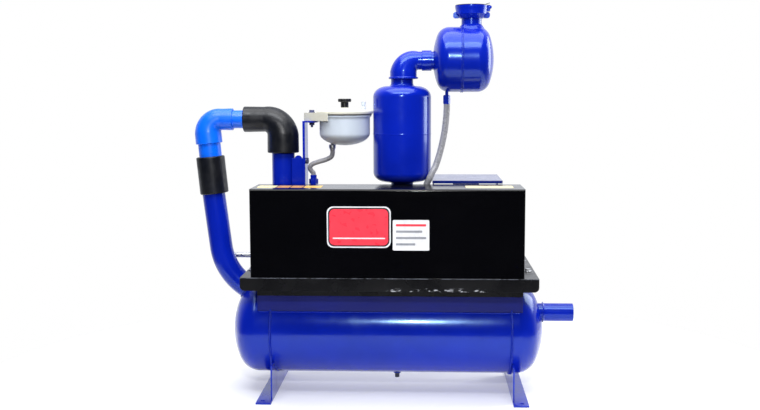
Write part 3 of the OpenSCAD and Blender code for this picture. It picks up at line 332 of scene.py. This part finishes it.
def clear(name, tint, rough, through, milk):
    """Translucent plastic, slightly milky."""
    m = Mat(name).set(IOR=1.47, Specular_IOR_Level=0.5, Transmission_Weight=through)
    cloud = m.span(m.noise(22.0, 4, 0.6), 0.3, 0.75)
    m.colour(m.mix(m.math("MULTIPLY", cloud, milk), tint, scaled(tint, 0.86)))
    m.rough(m.span(m.noise(60.0, 4), 0.3, 0.7, rough, rough + 0.14))
    m.normal(m.bump(m.noise(26.0, 2), 0.04, 0.0006))
    return m.m


BLUE = (0.0018, 0.014, 0.40)

# one material for each of the record's material slots
paints = {
    "blue_paint": enamel("paint_royal_blue", BLUE, coat=0.14, gloss=0.55, tint=(0.40, 0.68, 1.0)),
    "black_paint": enamel("paint_black", (0.0030, 0.0030, 0.0036), (0.22, 0.36), coat=0.12,
                          gloss=0.26, peel=0.06, dust=0.04, wear=0.5, under=(0.20, 0.20, 0.22)),
    "black_gloss": enamel("paint_black_gloss", (0.0012, 0.0012, 0.0018), (0.10, 0.18), coat=0.05,
                          gloss=0.18, peel=0.02, dust=0.015, wear=0.5, under=(0.25, 0.25, 0.27)),
    "steel": metal("steel_zinc"),
    "iron": cast("iron_cast"),
    "carbon": plastic("vane_carbon", (0.02, 0.02, 0.021), (0.5, 0.7)),
    "black_plastic": plastic("plastic_black", (0.004, 0.004, 0.005), (0.3, 0.45),
                             (0.008, 0.008, 0.009)),
    "copper": metal("copper_winding", (0.55, 0.24, 0.11), (0.3, 0.5), (1, 6, 1)),
    "rubber": rubber("rubber_black"),
    "blue_pvc": plastic("pvc_light_blue", (0.0, 0.135, 0.92), (0.26, 0.4), (0.0, 0.165, 1.0)),
    "white_plastic": plastic("plastic_off_white", (0.76, 0.745, 0.63), (0.3, 0.45),
                             (0.71, 0.70, 0.61)),
    "clear_plastic": clear("plastic_clear_bowl", (0.76, 0.84, 0.94), 0.30, 0.2, 0.3),
    "clear_hose": clear("hose_clear", (0.42, 0.42, 0.45), 0.24, 0.3, 0.3),
}


def chipped(name, low, high, top, start, stop):
    """Black paint, knocked off in flakes low on the tray's lip, with a painted highlight along its top
    edge.

    The flakes lie below the height high, most of them below low, from start to stop along X.
    The height of the tray's top is top.
    """
    m = Mat(name).set(Coat_Weight=0.12, Coat_Roughness=0.08, Specular_IOR_Level=0.28)
    tone = m.mix(m.span(m.noise(6.0, 4, 0.6), 0.3, 0.7),
                 (0.0026, 0.0026, 0.0032), (0.0042, 0.0042, 0.005))
    z, x = m.axis("Z"), m.axis("X")
    band = m.math("MULTIPLY", m.span(z, low, high, 1.0, 0.0), m.span(x, start, start + 0.02))
    band = m.math("MULTIPLY", band, m.span(x, stop, stop + 0.05, 1.0, 0.0))
    flake = m.span(m.noise(55.0, 5, 0.7, 0.5, m.stretch(0.7, 1, 2.2)), 0.56, 0.60)
    gone = m.math("MULTIPLY", band, flake)
    up = m.span(m.axis("Z", m.geo.outputs["Normal"]), 0.6, 1.0)
    grains = m.span(m.noise(40.0, 5, 0.65), 0.35, 0.75)
    dust = m.math("MULTIPLY", m.math("MULTIPLY", up, grains), 0.05)
    tone = m.mix(dust, tone, DUST)
    # painted highlight: a bluish grey band just below the tray's top edge, broken into patches by
    # noise, stands in for the light caught by the bent edge
    edge = m.math("MULTIPLY", m.span(z, top - 0.0024, top - 0.0014),
                  m.span(z, top - 0.0001, top - 0.0008))
    patchy_edge_highlight = m.math("MULTIPLY", edge, m.span(m.noise(32.0, 5, 0.7), 0.38, 0.56))
    tone = m.mix(m.math("MULTIPLY", patchy_edge_highlight, 0.7), tone, (0.22, 0.24, 0.29))
    m.colour(m.mix(gone, tone, (0.42, 0.43, 0.46)))
    haze = m.span(m.noise(11.0, 4), 0.25, 0.8, 0.22, 0.36)
    m.rough(m.math("ADD", haze, m.math("MULTIPLY", gone, 0.3)))
    height = m.math("SUBTRACT", m.noise(170.0, 2), m.math("MULTIPLY", gone, 0.6))
    m.normal(m.bump(height, 0.12, 0.001))
    return m.m


slot_of = {s["node"]: s["material_slot"] for s in frame["record"]["subparts"]}
tray_lo, tray_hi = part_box("base_tray")
tray_top = tray_hi.z
tray_paint = chipped("paint_black_chipped", tray_lo.z + 6 * mm, tray_lo.z + 13 * mm, tray_top,
                     -20 * mm, 280 * mm)
for name, node in N.items():
    node.data.materials.clear()
    node.data.materials.append(paints[slot_of[name]])


# ---------------------------------------------------------------- finer copies of the plain CAD shells

def skin(node, bevel, mat=None):
    """A piece with the node's own shape: welded, with softened edges and smooth shading.

    The bevel is in millimetres.
    """
    mesh = N[node].data.copy()
    mesh.name = node + "_skin"
    bm = bmesh.new()
    bm.from_mesh(mesh)
    bmesh.ops.remove_doubles(bm, verts=bm.verts, dist=2e-6)
    bmesh.ops.dissolve_limit(bm, angle_limit=math.radians(0.6), verts=bm.verts, edges=bm.edges)
    for f in bm.faces:
        f.smooth = True
    bm.to_mesh(mesh)
    bm.free()
    ob = bpy.data.objects.new(node + "_skin", mesh)
    scene.collection.objects.link(ob)
    mesh.materials.clear()
    mesh.materials.append(mat or paints[slot_of[node]])
    b = ob.modifiers.new("edges", "BEVEL")
    b.width = bevel * mm
    b.segments = 2
    b.limit_method = "ANGLE"
    b.angle_limit = math.radians(32)
    b.harden_normals = False
    b.use_clamp_overlap = True
    sharp = mesh.attributes.get("sharp_edge")
    if sharp:
        mesh.attributes.remove(sharp)
    w = ob.modifiers.new("shade", "WEIGHTED_NORMAL")
    w.keep_sharp = True
    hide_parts(node)
    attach(ob, N[node]["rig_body"])
    return ob


# pieces whose paint or metal differs from their slot's
special = {
    "base_tray": tray_paint,
    "motor_canopy": enamel("paint_canopy", (0.003, 0.014, 0.17), (0.14, 0.22), 0.5, 0.4),
    # painted shade: the saddle gets the blue paint darkened to 0.42, standing in for the shadow under
    # the tray's overhang
    "saddle_frame": enamel("paint_blue_painted_shade", scaled(BLUE, 0.42), (0.3, 0.45), coat=0.05,
                           gloss=0.3, peel=0.12),
    "bracket_bolts": metal("steel_blued", (0.10, 0.11, 0.22), (0.3, 0.45)),
    # painted shade: the drain plug's steel is darkened to a near-black blue for the shade it sits in,
    # besides its grime
    "drain_plug": metal("steel_dark_painted_shade", (0.06, 0.065, 0.085), (0.35, 0.5), grime=0.5),
}
# CAD nodes shown as they are
plain = {"oil_hose", "drain_hose", "ball_bearings", "motor_stator", "v_belts"}
# widths of the softened edges, in millimetres
soft_edges = {"rubber_elbow": 3.2, "pvc_elbow": 1.6, "pvc_stub_upper": 1.2, "pvc_stub_lower": 1.2,
              "base_tray": 1.4, "cup_head": 1.6, "oil_bowl": 1.2, "motor_canopy": 0.9,
              "belt_guard": 0.4, "cup_bracket": 1.2, "rain_flap": 0.5, "outlet_collar": 1.0,
              "foot_left": 1.2, "foot_right": 1.2, "saddle_frame": 1.2, "tray_rails": 1.4}
for name in sorted(N):
    if name not in plain:
        skin(name, soft_edges.get(name, 0.8), special.get(name))


# ---------------------------------------------------------------- pieces made here

def add_piece(name, bm, mat, body, smooth=35.0):
    """Links a finished bmesh as a piece that rides on a body."""
    bmesh.ops.recalc_face_normals(bm, faces=bm.faces)
    mesh = bpy.data.meshes.new(name)
    for f in bm.faces:
        f.smooth = True
    bm.to_mesh(mesh)
    bm.free()
    mesh.set_sharp_from_angle(angle=math.radians(smooth))
    mesh.materials.append(mat)
    ob = bpy.data.objects.new(name, mesh)
    scene.collection.objects.link(ob)
    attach(ob, body)
    return ob


def sweep(bm, points, radius, closed):
    """Adds a round bead along the points, with the scales of a hand laid weld."""
    sides = 7
    ripple = 0.22
    pitch = 4.6 * mm
    end_taper = 0.35
    rings = []
    n = len(points)
    run = 0.0
    for i, p in enumerate(points):
        a = points[(i - 1) % n] if closed or i else points[0]
        b = points[(i + 1) % n] if closed or i < n - 1 else points[-1]
        t = (b - a).normalized()
        up = Vector((0, 0, 1)) if abs(t.z) < 0.9 else Vector((1, 0, 0))
        u = t.cross(up).normalized()
        v = t.cross(u)
        if i:
            run += (p - points[i - 1]).length
        r = radius * (1 + ripple * math.sin(2 * math.pi * run / pitch))
        if not closed and i in (0, n - 1):
            r *= end_taper
        rings.append([bm.verts.new(p + (u * math.cos(q) + v * math.sin(q)) * r)
                      for q in (2 * math.pi * k / sides for k in range(sides))])
    for i in range(n if closed else n - 1):
        lower, upper = rings[i], rings[(i + 1) % n]
        for k in range(sides):
            m = (k + 1) % sides
            bm.faces.new((lower[k], lower[m], upper[m], upper[k]))
    if not closed:
        bm.faces.new(rings[0][::-1])
        bm.faces.new(rings[-1])


def line(a, b):
    """Straight run of points from a to b, about 1.1 mm apart."""
    a, b = Vector(a), Vector(b)
    n = max(2, int((b - a).length / (1.1 * mm)))
    return [a.lerp(b, i / n) for i in range(n + 1)]


def weld(name, runs, radius, closed=False):
    """One piece holding every run of a painted weld."""
    bm = bmesh.new()
    for points in runs:
        sweep(bm, points, radius, closed)
    return add_piece(name, bm, paints["blue_paint"], "unit", 60)


# the tank is taken from its own box, which the seam ridges make this much wider all round
seam_ridge = 2.2 * mm
tank_lo, tank_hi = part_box("tank_shell")
tank_r = (tank_hi.y - tank_lo.y) / 2 - seam_ridge
tank_z = tank_hi.z - seam_ridge - tank_r

saddle_lo, saddle_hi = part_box("saddle_frame")
bead_y = saddle_hi.y + 0.8 * mm
seat_z = tank_z + math.sqrt(tank_r ** 2 - saddle_hi.y ** 2) - 0.2 * mm
weld("saddle_welds", [line((saddle_lo.x + 6 * mm, side * bead_y, seat_z),
                           (saddle_hi.x - 6 * mm, side * bead_y, seat_z))
                      for side in (-1, 1)], 2.2 * mm)


def ring(x, r, z, count):
    """Closed run round a cylinder whose axis is along X at height z."""
    return [Vector((x, r * math.sin(a), z + r * math.cos(a)))
            for a in (2 * math.pi * i / count for i in range(count))]


weld("seam_welds", [ring(x, tank_r + 1 * mm, tank_z, 900)
                    for x in (tank_lo.x + 2 * mm, tank_hi.x - 2 * mm)], 3.8 * mm, True)

# the drum's body is the widest part of its box; the neck stands on top and the drain below, so
# its axis height comes from the tray; the seam is a double bead
drum_lo, drum_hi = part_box("separator_drum")
drum_r = (drum_hi.y - drum_lo.y) / 2
drum_z = tray_top + 687 * mm
drum_seam = 226 * mm
weld("drum_welds", [ring(x, drum_r - 0.6 * mm, drum_z, 600)
                    for x in (drum_seam - 2.5 * mm, drum_seam + 2.5 * mm)], 1.6 * mm, True)


def foot_arc(x):
    """Run of weld where a foot's web meets the round of the tank."""
    half, steps = 42, 200
    return [Vector((x, tank_r * math.sin(a), tank_z - tank_r * math.cos(a)))
            for a in (math.radians(-half + 2 * half * i / steps) for i in range(steps + 1))]


# a bead on either face of each web, which stands at the inner edge of its foot
web = 5 * mm
gap = 0.6 * mm
web_l, web_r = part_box("foot_left")[1].x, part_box("foot_right")[0].x
weld("foot_welds", [foot_arc(x) for x in (web_l + gap, web_l - web - gap,
                                          web_r - gap, web_r + web + gap)], 2.4 * mm)


def joint_curve(node, place, direction, radius, count, back):
    """Where a pipe of that radius, coming along direction, meets the outside of a node.

    The rays start that far back from place.
    """
    bm = bmesh.new()
    bm.from_mesh(N[node].data)
    tree = BVHTree.FromBMesh(bm)
    bm.free()
    d = Vector(direction).normalized()
    u = d.cross(Vector((0, 1, 0))).normalized()
    v = d.cross(u)
    found = []
    for i in range(count):
        a = 2 * math.pi * i / count
        start = Vector(place) + (u * math.cos(a) + v * math.sin(a)) * radius - d * back
        hit = tree.ray_cast(start, d)[0]
        if hit is not None:
            found.append(hit)
    return found


# the suction bend runs down and to the right into the tank's end, at this angle from upright;
# bend_in is a point on its axis, and the bead lies just outside the 76 mm pipe
entry = math.radians(55)
bend_in = (-504.3 * mm, 0, 352.9 * mm)
bend_dir = (math.sin(entry), 0, -math.cos(entry))
bead_r = 39.2 * mm
weld("bend_weld", [joint_curve("tank_end_left", bend_in, bend_dir, bead_r, 260, 60 * mm)],
     2.8 * mm, True)


# ---------------------------------------------------------------- plain labels

def label(name, corner, size, thick, mat, facing, radius):
    """Thin label with rounded corners; facing is 'front' or 'top'.

    The corner is in metres, and every size in millimetres.
    """
    bm = bmesh.new()
    w, h = (side * mm for side in size)
    r = radius * mm
    outline = []
    for cx, cy, a0 in ((w - r, r, -90), (w - r, h - r, 0), (r, h - r, 90), (r, r, 180)):
        for a in (math.radians(a0 + 15 * i) for i in range(7)):
            outline.append((cx + r * math.cos(a), cy + r * math.sin(a)))
    x0, y0, z0 = corner
    if facing == "front":
        place = [(x0 + x, y0, z0 + y) for x, y in outline]
        out = Vector((0, -thick * mm, 0))
    else:
        place = [(x0 + x, y0 + y, z0) for x, y in outline]
        out = Vector((0, 0, thick * mm))
    low = [bm.verts.new(q) for q in place]
    high = [bm.verts.new(Vector(q) + out) for q in place]
    n = len(outline)
    for i in range(n):
        k = (i + 1) % n
        bm.faces.new((low[i], low[k], high[k], high[i]))
    bm.faces.new(low)
    bm.faces.new(high)
    return add_piece(name, bm, mat, "unit")


def vinyl(name, base):
    """Printed vinyl: faint mottling and rubbed patches."""
    m = Mat(name).set(Specular_IOR_Level=0.5)
    tone = m.mix(m.span(m.noise(30.0, 4, 0.6), 0.3, 0.7), scaled(base, 0.96), scaled(base, 1.03))
    rub = m.span(m.noise(110.0, 5, 0.75), 0.62, 0.74)
    tone = m.mix(m.math("MULTIPLY", rub, 0.05), tone, scaled(base, 0.7))
    m.colour(tone)
    m.rough(m.span(m.noise(60.0, 4), 0.3, 0.7, 0.25, 0.4))
    m.normal(m.bump(m.noise(35.0, 2), 0.03, 0.0005))
    return m.m


red = vinyl("vinyl_red", (0.90, 0.045, 0.075))
white = vinyl("vinyl_white", (0.82, 0.82, 0.84))
grey = vinyl("vinyl_grey", (0.30, 0.31, 0.34))
black = vinyl("vinyl_black", (0.012, 0.012, 0.014))
straw = vinyl("vinyl_straw", (0.86, 0.72, 0.36))
ochre = vinyl("vinyl_ochre", (0.62, 0.30, 0.06))
amber = vinyl("vinyl_amber", (0.85, 0.48, 0.06))

guard_lo, guard_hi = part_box("belt_guard")
front, top = guard_lo.y, guard_hi.z

# the rounded plate: white, black and red sheets, each smaller and on top of the last
plate_x, plate_z = -200 * mm, 520 * mm
inset = 4 * mm
label("label_back", (plate_x, front, plate_z), (200, 130), 0.3, white, "front", 20)
label("label_edge", (plate_x + inset, front - 0.3 * mm, plate_z + inset), (192, 122), 0.2,
      black, "front", 18)
label("label_red", (plate_x + 2 * inset, front - 0.5 * mm, plate_z + 2 * inset), (184, 114), 0.2,
      red, "front", 16)
label("label_stripe", (plate_x + 18 * mm, front - 0.7 * mm, plate_z + 28 * mm), (164, 4), 0.2,
      white, "front", 1.5)

# the white plate beside it, with plain bars
card_x, card_z = 6 * mm, 512 * mm
label("plate_white", (card_x, front, card_z), (114, 96), 0.4, white, "front", 4)
for i, wide in enumerate((94, 82, 94, 60)):
    label(f"plate_bar_{i}", (card_x + 10 * mm, front - 0.4 * mm, card_z + (76 - 20 * i) * mm),
          (wide, 7), 0.2, grey if i else red, "front", 2)

# the labels on the guard's top, as X and width
top_labels = ((-430, 60, straw), (-366, 40, ochre), (-322, 38, ochre), (-280, 56, amber),
              (235, 150, straw))
for i, (x, wide, mat) in enumerate(top_labels, 1):
    label(f"top_label_{i}", (x * mm, -190 * mm, top), (wide, 76), 0.3, mat, "top", 3)


# ---------------------------------------------------------------- floor

# a plain pale disc, whose faint glow hides its edge against the backdrop
floor_r = 1.5
floor_sides = 128
floor_mesh = bpy.data.meshes.new("floor")
rim = [(floor_r * math.cos(a), floor_r * math.sin(a), 0)
       for a in (2 * math.pi * i / floor_sides for i in range(floor_sides))]
floor_mesh.from_pydata(rim, [], [tuple(range(floor_sides))])
floor = bpy.data.objects.new("floor", floor_mesh)
scene.collection.objects.link(floor)
floor.location.z = cad_lo.z - 0.5 * mm
floor_paint = Mat("floor_pale").set(Roughness=0.75, Specular_IOR_Level=0.2)
floor_paint.colour(floor_paint.mix(floor_paint.span(floor_paint.noise(1.5, 3), 0.3, 0.7),
                 (0.74, 0.74, 0.75), (0.78, 0.78, 0.79)))
floor_paint.set(Emission_Color=(1, 1, 1, 1), Emission_Strength=0.24)
floor_mesh.materials.append(floor_paint.m)
